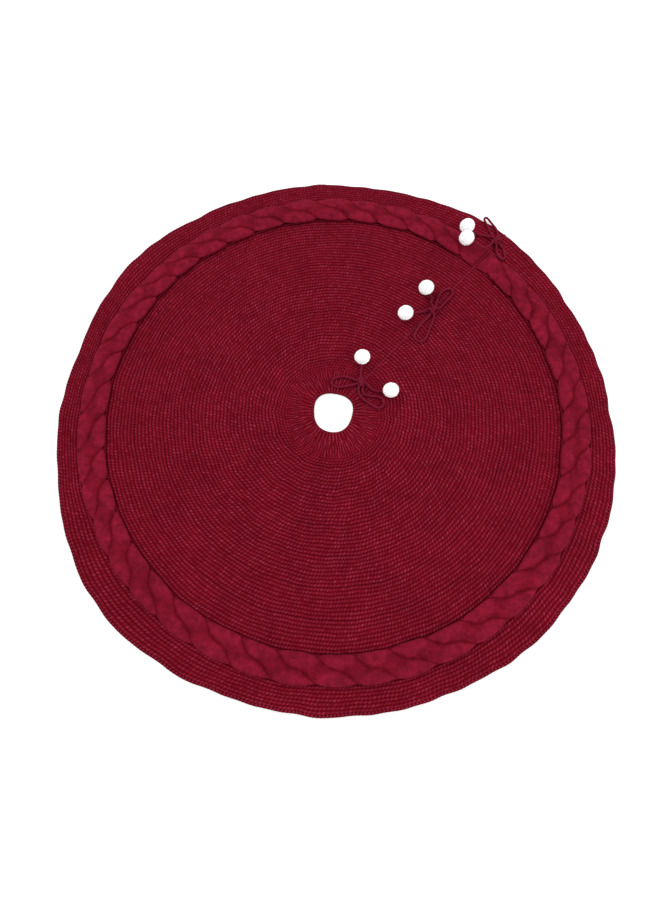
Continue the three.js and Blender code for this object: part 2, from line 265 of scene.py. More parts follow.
def knitted_ring(
    name, inner, outer, rows, stitches, relief, top, depth, material, fine=6, along=3
):
    """A closed sheet round the hole, from one side of the slit to the other.

    inner and outer are radii, or functions of the angle. relief gives 0 to 1 from places counted
    in rows outwards and stitches round. fine is how many points a row has across it, and along
    how many a stitch has. The underside shows the same stitches more flatly."""
    count = stitches * along

    def surface(steps, mirrored):
        across = np.linspace(0, 1, steps + 1)[:, None]
        round_it = np.linspace(0, 1, count + 1)[None, :]
        middle_angle = SLIT_ANGLE + round_it * 2 * math.pi
        low = inner(middle_angle) if callable(inner) else inner
        high = outer(middle_angle) if callable(outer) else outer
        radius = low + across * (high - low)
        start = np.arcsin(SLIT_SETBACK / radius)
        angle = SLIT_ANGLE + start + round_it * (2 * math.pi - 2 * start)
        height = relief(across * rows + 0 * round_it, round_it * stitches + 0 * across)
        radius = radius + row_wander(radius, angle)
        lift = floor_lift(radius, angle)
        sunk = 1 - np.minimum(height, 1)
        if mirrored:
            z = UNDERSIDE_DEPTH * sunk + lift
        else:
            z = (top(radius, angle) if callable(top) else top) - depth * sunk + lift
        points = np.stack([radius * np.cos(angle), radius * np.sin(angle), z], axis=-1)
        return points, height, radius * (angle - SLIT_ANGLE), radius + 0 * angle

    upper, lower = surface(rows * fine, False), surface(rows * UNDER_FINE, True)
    points, height, lengthways, crossways = [
        np.concatenate([a.reshape(-1, *a.shape[2:]), b.reshape(-1, *b.shape[2:])])
        for a, b in zip(upper, lower)
    ]
    wide = count + 1
    lower_start = (rows * fine + 1) * wide

    def quads(a, b, c, d):
        return np.stack([x.ravel() for x in (a, b, c, d)], axis=1).tolist()

    u = np.arange(lower_start).reshape(-1, wide)
    w = lower_start + np.arange((rows * UNDER_FINE + 1) * wide).reshape(-1, wide)
    faces = quads(u[:-1, :-1], u[1:, :-1], u[1:, 1:], u[:-1, 1:])
    faces += quads(w[:-1, :-1], w[:-1, 1:], w[1:, 1:], w[1:, :-1])
    cut_sides = len(faces)
    faces += quads(u[0, :-1], u[0, 1:], w[0, 1:], w[0, :-1])
    faces += quads(u[-1, :-1], w[-1, :-1], w[-1, 1:], u[-1, 1:])
    ratio = fine // UNDER_FINE
    for i in range(rows * UNDER_FINE):
        first = [int(j) for j in u[i * ratio : (i + 1) * ratio + 1, 0]]
        faces.append([int(w[i, 0]), int(w[i + 1, 0])] + first[::-1])
        last = [int(j) for j in u[i * ratio : (i + 1) * ratio + 1, -1]]
        faces.append([int(w[i + 1, -1]), int(w[i, -1])] + last)
    piece = add_piece(name, points, faces, material, "skirt")
    for polygon in piece.data.polygons[cut_sides:]:
        polygon.use_smooth = False
    give_values(piece, height.ravel(), lengthways.ravel(), crossways.ravel())
    return piece


RAMP_STOPS = (0.04, 0.30, 0.66, 0.98)  # stitch heights of the four colours of a yarn, from painted shade in the hollows to a painted highlight on the tops


def noise(tree, scale, detail, roughness):
    """Fractal noise on the object's own coordinates."""
    place = add_node(tree, "ShaderNodeTexCoord").outputs["Object"]
    node = add_node(
        tree, "ShaderNodeTexNoise", Vector=place, Scale=scale, Detail=detail, Roughness=roughness
    )
    return node.outputs["Fac"]


def tone_between(tree, value, dark, light):
    """A tone for the colour to be multiplied by, from the middle part of a noise."""
    return add_node(tree, "ShaderNodeMapRange", i0=value, i1=0.3, i2=0.7, i3=dark, i4=light).outputs[0]


def multiplied(tree, one, other):
    return add_node(tree, "ShaderNodeMath", {"operation": "MULTIPLY"}, i0=one, i1=other).outputs[0]


def knitting_yarn(name, hollow_shade, middle, crest, fleck_highlight, fuzz_bump=0.25, mottling=0.12):
    """Dull dyed acrylic yarn with a halo of loose fibres: deep red in painted shade where stitches
    sink, and paler with a painted highlight on their backs. Each stitch is a little lighter or
    darker than its neighbour."""
    material, tree, shader = new_material(name)
    height = add_node(tree, "ShaderNodeAttribute", {"attribute_name": "painted_stitch_shade"})
    # The ramp paints shade and light from a stitch's height: the hollow colour is painted shade, and the
    # fleck colour is a painted highlight on the plumpest tops.
    ramp = add_node(tree, "ShaderNodeValToRGB", Fac=height.outputs["Fac"])
    stops = ramp.color_ramp.elements
    stops[0].position = RAMP_STOPS[0]
    stops[0].color = linear(hollow_shade)
    stops[1].position = RAMP_STOPS[3]
    stops[1].color = linear(fleck_highlight)
    stops.new(RAMP_STOPS[1]).color = linear(middle)
    stops.new(RAMP_STOPS[2]).color = linear(crest)
    fibres = noise(tree, 520.0, 4.0, 0.7)
    fibre_tone = tone_between(tree, fibres, 0.80, 1.2)
    blotch_tone = tone_between(tree, noise(tree, 9.0, 4.0, 0.65), 0.86, 1.12)
    patch_tone = tone_between(tree, noise(tree, 75.0, 3.0, 0.6), 1 - mottling, 1 + mottling)
    tone = multiplied(tree, fibre_tone, multiplied(tree, patch_tone, blotch_tone))
    colour = add_node(
        tree, "ShaderNodeVectorMath", {"operation": "SCALE"}, i0=ramp.outputs["Color"], Scale=tone
    )
    bump = add_node(tree, "ShaderNodeBump", Strength=fuzz_bump, Distance=0.0006, Height=fibres)
    tree.links.new(colour.outputs[0], shader.inputs["Base Color"])
    tree.links.new(bump.outputs["Normal"], shader.inputs["Normal"])
    shader.inputs["Roughness"].default_value = 0.95
    shader.inputs["Specular IOR Level"].default_value = 0.06
    shader.inputs["Sheen Weight"].default_value = 0.04
    shader.inputs["Sheen Roughness"].default_value = 0.5
    shader.inputs["Sheen Tint"].default_value = linear("#c03050")
    return material


def neck_relief(row, stitch):
    """Ribs of knit stitches that waver a little, and turn into rows of beads at the far side."""
    share = row / NECK_ROWS
    bent = stitch + sum(h * np.sin(by_row * row + by_rib * stitch) for h, by_row, by_rib in RIB_WAVER)
    once, twice = 0.5 + 0.5 * np.cos(2 * math.pi * bent), 0.5 + 0.5 * np.cos(4 * math.pi * bent)
    grown = smooth_step(share + 0.07 * np.sin(4.7 * stitch), *RIB_SPLIT)
    rib = (once * (1 - grown) + twice * grown) ** RIB_FULLNESS
    knit = 0.5 + 0.5 * np.cos(2 * math.pi * (row + 0.25 * np.sin(2 * math.pi * bent)))
    row_number = np.clip(np.floor(row).astype(int), 0, NECK_ROWS - 1)
    rib_number = np.floor(2 * stitch + 0.5).astype(int) % (2 * NECK_RIBS)
    plump = neck_plumpness[row_number, rib_number]
    ribbed = rib * (1 - RIB_NIP + RIB_NIP * knit) * plump
    ridge = np.sin(math.pi * (row % 1)) ** RIDGE_FULLNESS
    place = 2 * stitch + 0.5 * (np.floor(row) % 2) + NECK_BEAD_LEAN * (row % 1)
    bead = 0.5 - 0.5 * np.cos(2 * math.pi * place)
    beaded = ridge * (NECK_BEAD_FLOOR + (1 - NECK_BEAD_FLOOR) * bead * plump)
    turned = smooth_step(share + 0.05 * np.sin(3.1 * stitch + 1), *RIB_END)
    return ribbed * (1 - turned) + beaded * turned


burgundy_knitting = knitting_yarn(
    "burgundy_acrylic_knitting", "#5a000e", "#6d081b", "#872036", "#a03e55"
)
neck_roll_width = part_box("neck_edge")[1].z
ROLL_OVERLAP = 0.0008  # the sheets run this far in under their rolled edges
body_inner = ring_radii("body_panel")[0]
neck_outer = ring_radii("neck_rib")[1]
NECK_ROWS = round((neck_outer - HOLE_RADIUS - neck_roll_width) / NECK_STITCH)
neck_plumpness = np.clip(rng.normal(0.9, RIB_SPREAD, (NECK_ROWS, 2 * NECK_RIBS)), 0.5, 1.5)
neck = knitted_ring(
    "ribbed_neck", lambda angle: hole_radius(angle) + neck_roll_width - ROLL_OVERLAP, body_inner,
    NECK_ROWS, NECK_RIBS, neck_relief, FABRIC_TOP, RIB_DEPTH, burgundy_knitting,
    along=18,
)
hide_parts("neck_rib")


# Rolled edges. The cast-on edge round the hole and the bound-off hem curl over into a round roll,
# wrapped by one slanting loop of yarn to each stitch.
HEM_LOOP = 0.0072  # one loop of the edge along the roll
ROLL_AROUND = 12
STEPS_IN_LOOP = 6
ROLL_SIZE = (1.04, 0.95)  # how wide and how high the roll is made, against the CAD's


def rolled_edge(name, radius_at, across, loops, lean, nip, outer_side, material):
    """A round roll along the edge, wrapped by leaning loops, and closed by a cap at each end.
    nip is how much thinner it is between two loops. outer_side is +1 where the open side is the
    outer one, and -1 at the hole; painted shade darkens the roll's open side and its underside."""
    steps = loops * STEPS_IN_LOOP
    along = np.linspace(0, 1, steps + 1)[:, None]
    around = np.linspace(0, 2 * math.pi, ROLL_AROUND, endpoint=False)[None, :]
    start = SLIT_SETBACK / radius_at(SLIT_ANGLE)
    angle = SLIT_ANGLE + start + along * (2 * math.pi - 2 * start)
    loop = 0.5 + 0.5 * np.cos(2 * math.pi * along * loops + around * lean)
    size = across / 2 * (ROLL_SIZE[0] - nip * (1 - loop))
    middle = radius_at(angle) + row_wander(radius_at(angle), angle)
    radius = middle + size * np.cos(around)
    z = across / 2 + size * np.sin(around) * ROLL_SIZE[1] + floor_lift(radius, angle)
    points = np.stack([radius * np.cos(angle), radius * np.sin(angle), z], axis=-1).reshape(-1, 3)
    piece = add_piece(name, points, tube_faces(steps + 1, ROLL_AROUND), material, "skirt")
    # Painted shade: the roll is darker on its underside and on its open side, and lit on top.
    painted_light = np.clip(0.6 * np.sin(around) - 0.6 * outer_side * np.cos(around) + 0.2, 0.02, 1)
    far = (radius_at(angle) * angle + 0 * around).ravel()
    give_values(piece, (loop * painted_light).ravel(), far, (across / 2 * around + 0 * along).ravel())
    return piece


neck_roll = rolled_edge(
    "rolled_neck_edge", lambda angle: hole_radius(angle) + neck_roll_width / 2, neck_roll_width,
    NECK_RIBS, 0, 0.05, -1, burgundy_knitting,
)
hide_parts("neck_edge")


# Body. Garter stitch, worked flat and widened as it goes out, so it shows round ridges of small
# purl beads with dark furrows between, and more beads to a ridge in each outer zone.
GARTER_RIDGE = 0.00775
GARTER_DEPTH = 0.0027
BEAD_FLOOR = 0.31  # how much of a ridge's height is left between two beads
BEAD_LEAN = 0.8  # beads lie aslant: share of a bead that one moves along from side to side
BEAD_SPREAD = 0.24  # how unlike each other beads are
RIDGE_SHIFT = 0.12  # share of a bead by which a ridge is out of step with the one before
RIDGES_IN_ZONE = 8
FINE_ZONES = 4  # the inner zones have more points to a row
BEAD_WIDTH = (0.0074, 0.0073, 0.0070, 0.0068, 0.0066, 0.0065)  # in each zone, from the neck out


def garter_relief(ridges, beads):
    """Relief of garter stitch, with the ridges a little out of step and no two beads alike."""
    out_of_step = rng.uniform(-RIDGE_SHIFT, RIDGE_SHIFT, ridges + 1)
    plumpness = np.clip(rng.normal(1, BEAD_SPREAD, (ridges + 1, beads + 4)), 0.35, 1.6)

    def relief(row, stitch):
        ridge = np.clip(np.floor(row).astype(int), 0, ridges - 1)
        v = np.clip(row - ridge, 0, 1)
        uneven = 0.22 * np.sin(0.31 * stitch + 1.7 * ridge)
        place = stitch + 0.5 * (ridge % 2) + out_of_step[ridge] + uneven + BEAD_LEAN * (v - 0.5) + 1
        bead = 0.5 - 0.5 * np.cos(2 * math.pi * place)
        plump = plumpness[ridge, np.clip(np.floor(place).astype(int), 0, beads + 3)]
        ridge_height = np.sin(math.pi * v) ** RIDGE_FULLNESS
        return ridge_height * (BEAD_FLOOR + (1 - BEAD_FLOOR) * bead * plump)

    return relief


ground_inner, ground_outer = ring_radii("cable_web")
zone_width = (ground_inner - body_inner) / len(BEAD_WIDTH)
for zone, bead_width in enumerate(BEAD_WIDTH):
    low = body_inner + zone * zone_width
    beads = round(2 * math.pi * (low + zone_width / 2) / bead_width)
    garter = knitted_ring(
        f"garter_zone_{zone + 1}", low, low + zone_width, RIDGES_IN_ZONE, beads,
        garter_relief(RIDGES_IN_ZONE, beads), FABRIC_TOP, GARTER_DEPTH, burgundy_knitting,
        fine=6 if zone < FINE_ZONES else 4, along=4,
    )
    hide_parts("body_panel")


# Ground of the cable band. Purl ground that the rope is knitted on. It is level with the fabric
# at both margins, where a little of it shows beside the rope, and sinks under the rope.
GROUND_ROWS = 8
GROUND_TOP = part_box("cable_web")[1].z
GROUND_DEPTH = 0.0016
GROUND_MARGIN = (0.004, 0.012)  # from each side of the band: level, and fully sunk
border_inner = ring_radii("border_band")[0]
ground_beads = round(math.pi * (ground_inner + ground_outer) / BEAD_WIDTH[-1])


def ground_level(radius, angle):
    """How high the ground's stitches reach at a place."""
    from_side = np.minimum(radius - ground_inner, border_inner - radius)
    return FABRIC_TOP - (FABRIC_TOP - GROUND_TOP) * smooth_step(from_side, *GROUND_MARGIN)


ground = knitted_ring(
    "cable_ground", ground_inner, border_inner, GROUND_ROWS, ground_beads,
    garter_relief(GROUND_ROWS, ground_beads), ground_level, GROUND_DEPTH, burgundy_knitting,
    fine=4, along=3,
)
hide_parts("cable_web")


# Rope cable. Two broad strands of plain knitting cross over each other, and a leaf of each shows in
# turn. The yarn is brushed, so the leaves look soft, with a thin fold of painted shade between them,
# and next to the slit the last rows are flat and melt into a pad.
CABLE_TURNS = 21
STRAND_HALF_WIDTH = (0.0178, 0.0240)  # beside its neighbour, and over or under it
STRAND_HALF_THICKNESS = 0.0062
STRAND_SPREAD = 0.0118  # how far each swings to either side
STRAND_CROSSING = 0.0014  # how far each rises and sinks
STRAND_SETBACK = 0.0028
STRAND_TIP = 0.007  # length over which an end rounds off
PAD_REACH = (0.008, 0.07)  # from the slit: flat pad, and full rope
PAD_THINNESS = 0.46
PAD_HALF_WIDTH = 0.0235
STRAND_AROUND = 36
STRAND_STEPS = 1600
FULLNESS = 0.95  # below 1 the section has fuller shoulders than an ellipse
STRAND_DRIFT = ((0.16, 5, 1), (0.1, 13, 0))  # no two turns are alike: height, count and phase
FOLD_SHADE = 0.22  # stitch height, so depth of colour, of the painted shade down in a fold
FOLD_SIDES = ((0.43, -0.0002, 0.0014), (0.35, 0.0004, 0.0052))  # what it gains as it comes clear of the painted shade in the fold
SIDE_SHADE = (0.5, 0.0006, 0.0082)  # painted shade: it is as dark as this near the ground
# The flat pad takes this tone in place of the painted fold shade.
PAD_TONE = 1.1
FELT_LUMPS = 0.00045
FELT_WAVES = ((61, 3, 0), (97, -4, 2), (173, 5, 0))  # count, slant and phase
burgundy_cable = knitting_yarn(
    "felted_burgundy_cable", "#4c000b", "#600717", "#740f24", "#881a32", fuzz_bump=0.5, mottling=0.3
)
cable_radius = (ground_inner + ground_outer) / 2


def cable_strand(name, side):
    """One strand. side is +1 or -1, and the other strand does the opposite at every place."""
    t = np.linspace(0, 1, STRAND_STEPS + 1)[:, None]
    around = np.linspace(0, 2 * math.pi, STRAND_AROUND, endpoint=False)[None, :]
    start = STRAND_SETBACK / cable_radius
    angle = SLIT_ANGLE + start + t * (2 * math.pi - 2 * start)
    twist = t * CABLE_TURNS * 2 * math.pi
    twist = twist + sum(h * np.sin(count * angle + phase) for h, count, phase in STRAND_DRIFT)
    from_end = np.minimum(t, 1 - t) * 2 * math.pi * cable_radius
    rope = smooth_step(from_end, *PAD_REACH)
    tip = np.sqrt(np.clip(1 - (1 - np.clip(from_end / STRAND_TIP, 0, 1)) ** 2, 0.05, 1))
    crossing = np.sin(twist) ** 2
    wide = STRAND_HALF_WIDTH[0] * (1 - crossing) + STRAND_HALF_WIDTH[1] * crossing
    wide = wide * rope + PAD_HALF_WIDTH * (1 - rope)
    thick = STRAND_HALF_THICKNESS * (PAD_THINNESS + (1 - PAD_THINNESS) * rope) * tip
    aside = -STRAND_SPREAD * np.cos(twist) * (0.6 + 0.4 * rope)
    raised = STRAND_CROSSING * np.sin(twist) * rope
    middle = GROUND_TOP + thick + STRAND_CROSSING * rope
    across = side * aside + wide * np.cos(around)
    up = np.abs(np.sin(around)) ** FULLNESS * np.sign(np.sin(around))
    lumps = sum(np.sin(count * angle + slant * around + phase) for count, slant, phase in FELT_WAVES)
    lumps = FELT_LUMPS * rope * lumps / len(FELT_WAVES)
    height = middle + side * raised + (thick + lumps) * up
    beside = np.clip(1 - ((across + side * aside) / wide) ** 2, 0, 1)
    neighbour = middle - side * raised + thick * beside ** (FULLNESS / 2)
    neighbour = np.where(beside > 0, neighbour, 0)
    radius = cable_radius + across
    radius = radius + row_wander(radius, angle)
    z = height + floor_lift(radius, angle)
    points = np.stack([radius * np.cos(angle), radius * np.sin(angle), z], axis=-1)
    faces = tube_faces(STRAND_STEPS + 1, STRAND_AROUND)
    piece = add_piece(name, points.reshape(-1, 3), faces, burgundy_cable, "skirt")
    # Painted shade: dark in the fold where the neighbour strand stands as high, and darker low on the
    # sides near the ground.
    clear = FOLD_SHADE + sum(
        gain * smooth_step(height - neighbour, start, end) for gain, start, end in FOLD_SIDES
    )
    clear = clear * rope + PAD_TONE * (1 - rope)
    low_side_shade = SIDE_SHADE[0] + (1 - SIDE_SHADE[0]) * smooth_step(height - GROUND_TOP, *SIDE_SHADE[1:])
    give_values(
        piece, (clear * low_side_shade).ravel(), (cable_radius * angle + 0 * around).ravel(),
        (STRAND_HALF_WIDTH[0] * around + 0 * t).ravel(),
    )
    return piece


strand_a = cable_strand("rope_strand_a", 1)
strand_b = cable_strand("rope_strand_b", -1)
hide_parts("cable_strand_a")
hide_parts("cable_strand_b")


# Border and hem. Seven garter ridges outside the cable, on a slightly looser needle, and the
# bound-off edge, which waves in and out because it has more stitches than it needs.
BORDER_RIDGES = 7
BORDER_BEAD = 0.0079
BORDER_MIDDLE = 0.025  # from the cable to the border's middle line
hem_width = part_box("hem_edge")[1].z
border_beads = round(2 * math.pi * (border_inner + BORDER_MIDDLE) / BORDER_BEAD)
border = knitted_ring(
    "garter_border", border_inner, lambda angle: edge_radius(angle) - hem_width + ROLL_OVERLAP,
    BORDER_RIDGES, border_beads, garter_relief(BORDER_RIDGES, border_beads), FABRIC_TOP, GARTER_DEPTH,
    burgundy_knitting, fine=4, along=4,
)
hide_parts("border_band")
hem = rolled_edge(
    "bound_off_hem", lambda angle: edge_radius(angle) - hem_width / 2, hem_width,
    round(2 * math.pi * SKIRT_RADIUS / HEM_LOOP), 0.6, 0.13, 1, burgundy_knitting,
)
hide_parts("hem_edge")


# Slit edges. Each long side of the slit ends in a chain of edge stitches, one to a ridge, that
# stands a little proud. The two chains lie against each other when the bows are tied.
CHAIN_WIDTH = 0.0031
CHAIN_TOP = FABRIC_TOP + 0.0001
CHAIN_STITCH = GARTER_RIDGE
CHAIN_PRESS = 0.0004  # how far the two are squeezed together
CHAIN_AROUND = 10
CHAIN_SHORT = 0.0005  # it stops this far inside the outer edge
CHAIN_NIP = (0.1, 0.14)  # how much narrower and lower it is between two stitches
slit_way = np.array([math.cos(SLIT_ANGLE), math.sin(SLIT_ANGLE)])
beside_slit = np.array([-math.sin(SLIT_ANGLE), math.cos(SLIT_ANGLE)])


def chain_edge(name, side, node):
    """A chain of edge stitches along the slit: plump in the middle of each, nipped between."""
    far_end = float(edge_radius(SLIT_ANGLE)) - CHAIN_SHORT
    near_end = float(hole_radius(SLIT_ANGLE))
    stitches = round((far_end - near_end) / CHAIN_STITCH)
    along = np.linspace(0, 1, stitches * STEPS_IN_LOOP + 1)[:, None]
    around = np.linspace(0, 2 * math.pi, CHAIN_AROUND, endpoint=False)[None, :]
    stitch = np.abs(np.sin(math.pi * along * stitches)) ** 0.6
    bulge = CHAIN_WIDTH / 2 * np.cos(around) * (1 - CHAIN_NIP[0] * (1 - stitch))
    aside = side * (CHAIN_WIDTH / 2 - CHAIN_PRESS + bulge)
    z = CHAIN_TOP / 2 + CHAIN_TOP / 2 * np.sin(around) * (1 - CHAIN_NIP[1] * (1 - stitch))
    distance = near_end + along * (far_end - near_end) + 0 * around
    flat = distance[..., None] * slit_way + aside[..., None] * beside_slit
    points = np.concatenate([flat, z[..., None]], axis=-1).reshape(-1, 3)
    index = np.arange(points.shape[0]).reshape(-1, CHAIN_AROUND)
    turned = np.roll(index, -1, axis=1)
    faces = np.stack([index[:-1], index[1:], turned[1:], turned[:-1]], axis=-1).reshape(-1, 4)
    caps = [index[0].tolist(), index[-1].tolist()[::-1]]
    if side < 0:
        caps = [cap[::-1] for cap in caps]
        faces = faces[:, ::-1]
    piece = add_piece(name, points, faces.tolist() + caps, burgundy_knitting, "skirt")
    # Painted light: each stitch is lit on top, with painted shade on its underside and between stitches.
    height = 0.35 + 0.5 * stitch * np.clip(np.sin(around) + 0.1, 0, 1)
    give_values(piece, height.ravel(), distance.ravel(), (CHAIN_WIDTH / 2 * around + 0 * along).ravel())
    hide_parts(node)
    return piece


chain_edge("slit_chain_left", 1, "slit_edge_left")
chain_edge("slit_chain_right", -1, "slit_edge_right")


# Tie cords. Each is three plies of the same yarn twisted together, about 5 mm thick and limp. It
# is sewn through the chain, tied in a bow with its neighbour, and ends inside a pompom.
CORD_DIAMETER = 0.005
CORD_TWIST = 0.013  # length of one full turn of a ply
CORD_PLIES = 3
CORD_STEP = 0.0011
CORD_AROUND = 15
SPLINE_STEPS = 24  # between two places on a route
PLY_SHAPE = (0.86, 0.24, 0.8)  # least share of the radius, what a ply adds, and its fullness
KNOT_RADIUS = 0.008
POMPOM_RADIUS = 0.018
POMPOM_SLOPE = 30  # degrees, at which a tail goes up into its pompom
LOOP_SLOPE = -20  # at which loops and tails leave the knot
TAIL_SLOPE = 20
CORD_GAP = 0.0003
EXIT_FROM = 0.0030  # cords start this far from the middle of the knot
EXIT_LENGTH = 0.004
CORD_REST = FABRIC_TOP + CORD_GAP + CORD_DIAMETER / 2

# Each loop has the bearings at which it leaves the knot and comes back, and each tail those at
# which it leaves the knot and enters its pompom, in degrees from +X towards +Y. Places are
# millimetres from the knot: x, y, and how far the cord is lifted off the fabric.
BOWS = {
    "inner": {
        "loop_a": ([150, 196], [
            (-17, 9.5, 0), (-26, 13, 0), (-39, 16, 0), (-53, 14.5, 0), (-62, 9, 0), (-64.7, 1.5, 0),
            (-60.7, -5.5, 0), (-52, -8.5, 0), (-38, -7.5, 0), (-27, -6, 0), (-17.5, -4.5, 0)]),
        "loop_b": ([-70, -115], [
            (3, -17, 0), (5, -24.5, 0), (11, -29.5, 0), (21, -32, 0), (33, -33, 0), (42.5, -36.5, 0),
            (47.5, -43.5, 0), (48, -51.5, 0), (43, -58, 0), (35, -60, 0), (25, -55.5, 0), (15, -48, 0),
            (5, -40.5, 0), (-2, -32, 0), (-5, -24, 0), (-5.5, -16.5, 0)]),
        "tail_a": (-25, -8, [
            (14.5, -8.5, 4.5), (20, -13, 1), (26, -17.5, 0), (33, -20.5, 0.3), (40.4, -22.2, 2.5)]),
        "tail_b": (88, 84, [(0.4, 15.5, 4.5), (0.7, 21, 1), (1.2, 26, 0.6), (2.3, 32, 2.5)]),
    },
    "middle": {
        "loop_a": ([64, 20], [
            (6.5, 16, 0), (10.5, 27, 0), (15.6, 40, 0), (24, 51, 0), (35, 56.5, 0), (45, 54.5, 0),
            (48, 45.5, 0), (42.5, 35.5, 0), (30.5, 23.5, 0), (18, 10.5, 0)]),
        "loop_b": ([225, 268], [
            (-15, -16.5, 0), (-31, -32.7, 0), (-43, -49, 0), (-48.6, -61.5, 0), (-45.4, -72.5, 0),
            (-35.4, -77, 0), (-25.4, -71.5, 0), (-18.4, -58.7, 0), (-11.4, -42.7, 0),
            (-4.4, -27.7, 0), (-0.8, -17, 0)]),
        "tail_a": (177, 196, [
            (-16.5, 0.8, 4.2), (-23, -0.2, 0.8), (-30, -1.5, 0), (-37, -3, 0.6), (-44.7, -5.2, 2.5)]),
        "tail_b": (110, 125, [(-4.6, 16, 4.2), (-4, 22, 1), (-2.8, 27.5, 0.6), (-1.9, 33, 2.5)]),
    },
    "outer": {
        "loop_a": ([112, 62], [
            (-7, 17.5, 0), (-10.5, 30, 0), (-14.5, 44, 0), (-18.5, 56, 0), (-20, 62, 0),
            (-18.6, 66.9, 0), (-14.6, 68, 0), (-10.8, 64.4, 0), (-4, 52, 0), (3, 40, 0),
            (7, 29, 0), (7.5, 17.5, 0)]),
        "loop_b": ([275, 318], [
            (0.3, -17, 0), (0, -26, 0), (1.5, -38, 0), (5.5, -47, 0), (12.5, -50, 0), (17.5, -44, 0),
            (18, -33, 0), (15.5, -21, 0), (11.8, -12.5, 0)]),
        "tail_a": (150, 153, [
            (-14.5, 9.8, 5), (-20, 13.8, 1.6), (-27, 17.5, 0.2), (-36, 20.2, 0.3), (-47.6, 23, 2.5)]),
        "tail_b": (213, 168, [
            (-13, -11.5, 8), (-20, -19, 9.5), (-29, -25.5, 12.5), (-40, -26.5, 14.6),
            (-48, -22, 15), (-54.5, -15, 15.8)]),
    },
}


def heading(bearing, slope):
    """The unit vector of a bearing from +X and an upward slope, both in degrees."""
    flat = math.cos(math.radians(slope))
    turn = math.radians(bearing)
    return np.array([flat * math.cos(turn), flat * math.sin(turn), math.sin(math.radians(slope))])


def smooth_line(points, step):
    """A Catmull-Rom line through the points, as even steps with a point at each end."""
    p = np.array(points)
    p = np.vstack([2 * p[0] - p[1], p, 2 * p[-1] - p[-2]])
    t = np.linspace(0, 1, SPLINE_STEPS, endpoint=False)[:, None]
    pieces = []
    for a, b, c, d in zip(p, p[1:], p[2:], p[3:]):
        m0, m1 = (c - a) / 2, (d - b) / 2
        pieces.append(
            (2 * t**3 - 3 * t**2 + 1) * b + (t**3 - 2 * t**2 + t) * m0
            + (3 * t**2 - 2 * t**3) * c + (t**3 - t**2) * m1
        )
    line = np.vstack(pieces + [p[-2:-1]])
    along = np.concatenate([[0], np.cumsum(np.linalg.norm(np.diff(line, axis=0), axis=1))])
    even = np.linspace(0, along[-1], max(4, round(along[-1] / step)) + 1)
    return np.stack([np.interp(even, along, line[:, k]) for k in range(3)], axis=1), along[-1]


def twisted_tube(line, radius, twist):
    """Points and faces of a three-ply cord along a line, its plies winding round it."""
    ahead = np.gradient(line, axis=0)
    ahead /= np.linalg.norm(ahead, axis=1)[:, None]
    side = np.cross(ahead[0], [0, 0, 1.0])
    if np.linalg.norm(side) < 0.1:
        side = np.array([1.0, 0, 0])
    sides = []
    for direction in ahead:
        side = side - direction * np.dot(side, direction)
        side /= np.linalg.norm(side)
        sides.append(side)
    sides = np.array(sides)
    ups = np.cross(sides, ahead)
    far = np.concatenate([[0], np.cumsum(np.linalg.norm(np.diff(line, axis=0), axis=1))])[:, None]
    around = np.linspace(0, 2 * math.pi, CORD_AROUND, endpoint=False)[None, :]
    ply = np.abs(np.cos(CORD_PLIES / 2 * (around - 2 * math.pi * far / twist)))
    size = radius * (PLY_SHAPE[0] + PLY_SHAPE[1] * ply ** PLY_SHAPE[2])
    ring = sides[:, None] * np.cos(around)[..., None] + ups[:, None] * np.sin(around)[..., None]
    points = line[:, None] + size[..., None] * ring
    faces = tube_faces(len(line), CORD_AROUND)
    return points.reshape(-1, 3), faces, ply, far + 0 * around, radius * around + 0 * far


def twisted_cord(name, line, material, body, radius=CORD_DIAMETER / 2):
    """A cord as an object that rides on a body, with painted shade where its plies meet."""
    points, faces, ply, far, round_it = twisted_tube(line, radius, CORD_TWIST)
    piece = add_piece(name, points, faces, material, body)
    give_values(piece, (0.2 + 0.8 * ply).ravel(), far.ravel(), round_it.ravel())
    return piece


burgundy_cord = knitting_yarn("burgundy_twisted_cord", "#3e000b", "#620b1c", "#791b32", "#8e2e45")


def knot_centre(bow):
    low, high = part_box(f"{bow}_bow_knot")
    return np.array((low + high) / 2)


def leave_knot(bow, bearing, slope):
    """From inside the knot out to where the cord is clear of it."""
    way = heading(bearing, slope)
    centre = knot_centre(bow)
    return [centre + way * d for d in (EXIT_FROM, KNOT_RADIUS, KNOT_RADIUS + CORD_GAP + EXIT_LENGTH)]


def place_points(bow, route):
    """A route's places in metres, in the object's frame."""
    foot = np.array([*knot_centre(bow)[:2], CORD_REST])
    return [foot + np.array(place) / 1000 for place in route]


for bow, cords in BOWS.items():
    for letter in "ab":
        bearings, route = cords[f"loop_{letter}"]
        points = leave_knot(bow, bearings[0], LOOP_SLOPE) + place_points(bow, route)
        points += leave_knot(bow, bearings[1], LOOP_SLOPE)[::-1]
        line, length = smooth_line(points, CORD_STEP)
        loop = twisted_cord(f"{bow}_loop_{letter}_cord", line, burgundy_cord, f"{bow}_loop_{letter}")
        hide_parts(f"{bow}_bow_loop_{letter}")


# Knots of the bows. The tie of one side is wound twice round the other and drawn tight, so the
# knot shows as two fat wraps with the loops and tails coming out from under them. Each tie is sewn
# in through the slit's edge below its knot.
KNOT_TURNS = 2.4
KNOT_START = -0.35  # turns
KNOT_POINTS = 70
KNOT_REACH = (0.0086, 0.0054)  # half width and half height of the wraps' line
WRAP_PITCH = 0.98  # cord widths from one wrap to the next
WRAP_THICKNESS = 1.08  # a wound cord bulges a little
HEART_SIZE = (0.0066, 0.0082, 0.0054)  # half sizes of the bulk of cord inside the wraps
ROOT_LEVELS = (0.0006, FABRIC_TOP - 0.001, FABRIC_TOP + 0.001)  # where it comes up the edge
ROOT_TURN = 0.3  # share of the way to the knot by which it has left the fabric
ROOT_SUNK = 0.002  # it ends this far below the middle of the knot
KNOT_BEARING = {"inner": 4, "middle": -50, "outer": 128}  # direction of the wraps' axis
